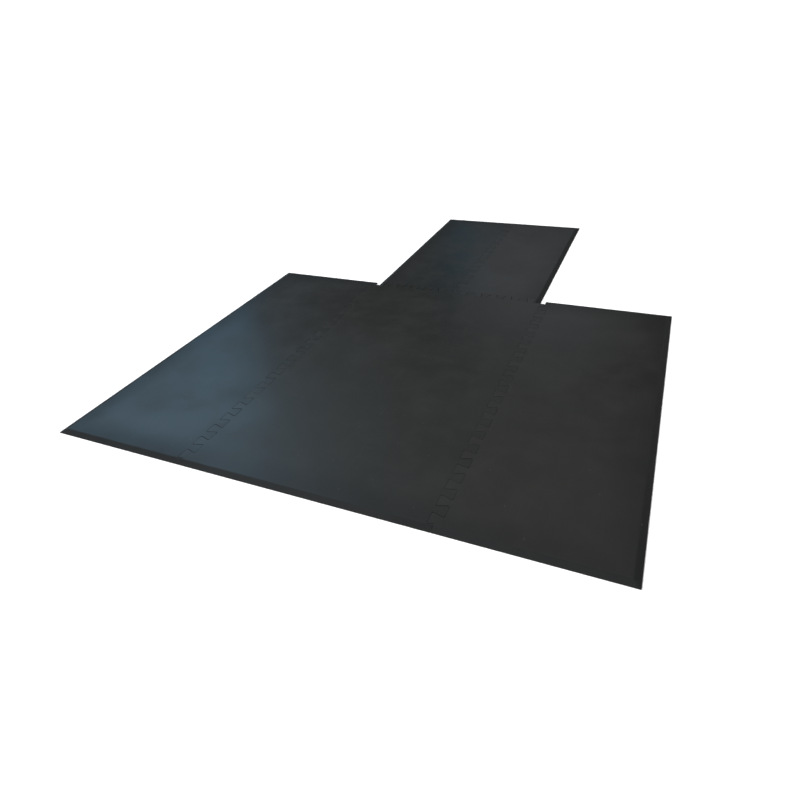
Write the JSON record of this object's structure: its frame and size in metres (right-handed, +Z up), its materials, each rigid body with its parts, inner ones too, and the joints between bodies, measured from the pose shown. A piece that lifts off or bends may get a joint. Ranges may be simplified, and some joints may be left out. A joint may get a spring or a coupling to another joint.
{
  "type": "interlocking gym floor mat",
  "caption": "Low T-shaped rubber gym floor mat of flat panels joined by dovetail teeth, with sloped outer edges, to cushion training and protect the floor.",
  "frame": {"origin": "on the floor, at the middle of the whole mat's width and depth", "axes": "+Y from the front edge of the wide row towards the extension, +X to the right across the row, +Z up through the thickness"},
  "size_m": [2.44, 3.28, 0.012],
  "materials": {
    "rubber": "satin charcoal vulcanised rubber"
  },
  "bodies": {
    "centre": {"centre_panel": "rubber"},
    "left": {"left_panel": "rubber"},
    "right": {"right_panel": "rubber"},
    "rear_left": {"extension_left": "rubber"},
    "rear_right": {"extension_right": "rubber"}
  },
  "joints": [
    {"name": "left_panel_lift", "type": "slide", "parent": "centre", "child": "left", "axis": [0, 0, 1], "range_m": [0, 0.12]},
    {"name": "right_panel_lift", "type": "slide", "parent": "centre", "child": "right", "axis": [0, 0, 1], "range_m": [0, 0.12]},
    {"name": "extension_left_lift", "type": "slide", "parent": "centre", "child": "rear_left", "axis": [0, 0, 1], "range_m": [0, 0.12]},
    {"name": "extension_right_lift", "type": "slide", "parent": "centre", "child": "rear_right", "axis": [0, 0, 1], "range_m": [0, 0.12]}
  ]
}
